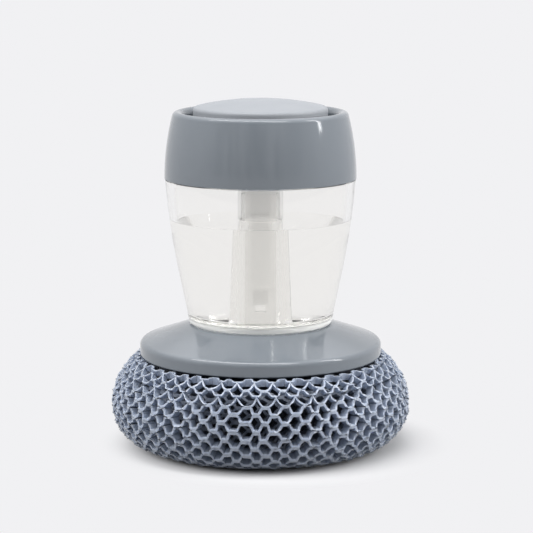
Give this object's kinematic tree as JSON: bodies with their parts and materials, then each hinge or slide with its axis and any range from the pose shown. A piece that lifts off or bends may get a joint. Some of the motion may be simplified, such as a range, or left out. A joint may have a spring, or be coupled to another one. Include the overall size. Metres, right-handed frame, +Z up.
{
  "type": "soap-dispensing palm scrubber",
  "caption": "Palm dish scrubber: a clear soap tank on a plate with a honeycomb net scourer, closed by a grey screw cap whose push button pumps soap down into the scourer.",
  "frame": {"origin": "centre of the scourer's flat foot, on the surface that the scrubber stands on", "axes": "+Z up along the axis of scourer, tank and button; -Y faces the picture's viewer"},
  "size_m": [0.0947, 0.0948, 0.1105],
  "materials": {
    "scourer_net": "net of glossy plastic ribbon",
    "grey_plastic": "polished moulding",
    "button_plastic": "fine matte moulding",
    "inner_plastic": "satin moulding",
    "clear_plastic": "clear and polished",
    "milky_plastic": "natural, translucent",
    "silicone": "satin",
    "steel": "bright"
  },
  "bodies": {
    "brush_head": {"scourer": "scourer_net", "base_plate": "grey_plastic", "net_retainer": "inner_plastic", "net_hoop": "inner_plastic", "retainer_screws": "steel"},
    "base_gasket": {"base_gasket": "silicone"},
    "tank": {"tank": "clear_plastic", "outlet_valve": "silicone", "valve_ring": "inner_plastic"},
    "lid_gasket": {"lid_gasket": "silicone"},
    "sleeve_seal": {"sleeve_seal": "silicone"},
    "cap": {"cap_shell": "grey_plastic", "inner_lid": "inner_plastic", "guide_sleeve": "inner_plastic", "stem_wiper": "silicone", "vent_valve": "silicone", "return_spring": "steel"},
    "button": {"button": "button_plastic", "plunger_stem": "milky_plastic", "piston_cup": "silicone"}
  },
  "joints": [
    {"name": "tank_rise", "type": "slide", "parent": "brush_head", "child": "base_gasket", "axis": [0, 0, 1], "range_m": [0, 0.006]},
    {"name": "tank_unscrew", "type": "hinge", "parent": "base_gasket", "child": "tank", "pos_m": [0, 0, 0.039], "axis": [0, 0, 1], "range_deg": [0, 360]},
    {"name": "cap_lift_off", "type": "slide", "parent": "tank", "child": "lid_gasket", "axis": [0, 0, 1], "range_m": [0, 0.05]},
    {"name": "cap_thread_rise", "type": "slide", "parent": "lid_gasket", "child": "sleeve_seal", "axis": [0, 0, 1], "range_m": [0, 0.006]},
    {"name": "cap_unscrew", "type": "hinge", "parent": "sleeve_seal", "child": "cap", "pos_m": [0, 0, 0.0857], "axis": [0, 0, 1], "range_deg": [0, 360]},
    {"name": "button_press", "type": "slide", "parent": "cap", "child": "button", "axis": [0, 0, -1], "range_m": [0, 0.005], "stiffness_N_per_m": 500, "springref_m": -0.005, "deforming": ["return_spring"]}
  ],
  "couplings": [
    {"joint": "tank_rise", "follows": "tank_unscrew", "m_per_rad": 0.00095493},
    {"joint": "cap_thread_rise", "follows": "cap_unscrew", "m_per_rad": 0.00095493}
  ]
}
